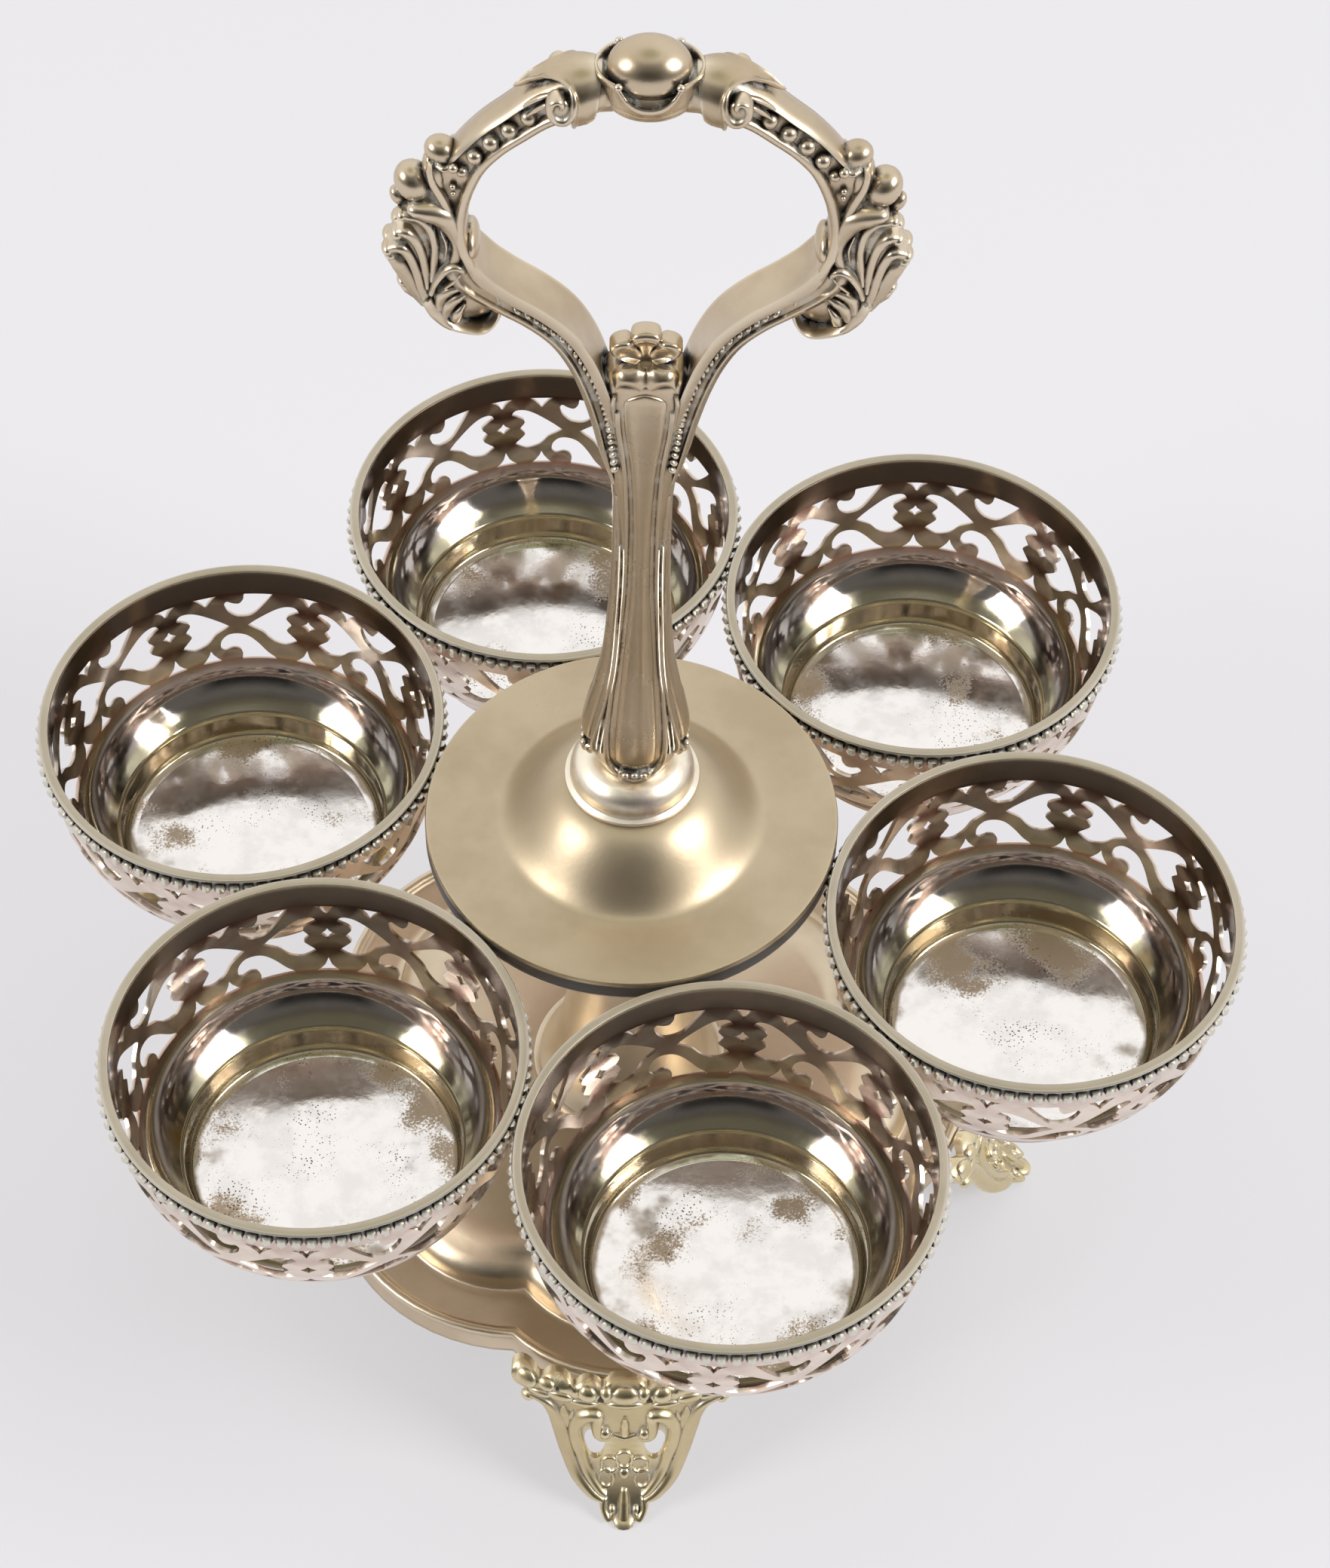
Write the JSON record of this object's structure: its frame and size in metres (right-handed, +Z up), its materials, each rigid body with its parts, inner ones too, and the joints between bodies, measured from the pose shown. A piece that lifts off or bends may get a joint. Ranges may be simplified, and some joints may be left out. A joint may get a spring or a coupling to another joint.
{
  "type": "cruet stand",
  "caption": "Revolving cruet stand: a ring of pierced cups round a central disc, on a lobed tray with cast feet and a tall loop handle.",
  "frame": {"origin": "on the column's axis, at the level of the table that the four toes stand on", "axes": "+Z up along the column, -Y towards the front, +X to the right in the front view"},
  "size_m": [0.182, 0.1837, 0.2532],
  "materials": {
    "satin_plate": "worn silver plate, satin, on brass",
    "disc_plate": "matte silver plate with fine specks",
    "polished_plate": "polished silver plate with tarnish spots",
    "cast_plate": "cast, silver-plated, with dark recesses",
    "foot_plate": "cast, plate worn to yellow metal",
    "cup_plate": "polished silver plate, tarnished pink and brown at the piercing",
    "rim_plate": "fine brushed silver plate",
    "bush_brass": "turned brass",
    "rod_steel": "dull steel"
  },
  "bodies": {
    "stand": {"base_tray": "satin_plate", "foot_front": "foot_plate", "foot_right": "foot_plate", "foot_back": "foot_plate", "foot_left": "foot_plate", "column": "satin_plate", "bearing_washer": "bush_brass", "handle_collar": "polished_plate", "handle": "cast_plate", "tie_rod": "rod_steel", "base_washer": "rod_steel", "base_nut": "rod_steel"},
    "carousel": {"top_disc": "disc_plate", "hub_bush": "bush_brass", "cup_bowl_1": "cup_plate", "cup_rim_1": "rim_plate", "cup_bowl_2": "cup_plate", "cup_rim_2": "rim_plate", "cup_bowl_3": "cup_plate", "cup_rim_3": "rim_plate", "cup_bowl_4": "cup_plate", "cup_rim_4": "rim_plate", "cup_bowl_5": "cup_plate", "cup_rim_5": "rim_plate", "cup_bowl_6": "cup_plate", "cup_rim_6": "rim_plate"}
  },
  "joints": [
    {"name": "carousel_turn", "type": "hinge", "parent": "stand", "child": "carousel", "pos_m": [0, 0, 0.0996], "axis": [0, 0, 1], "continuous": true}
  ]
}
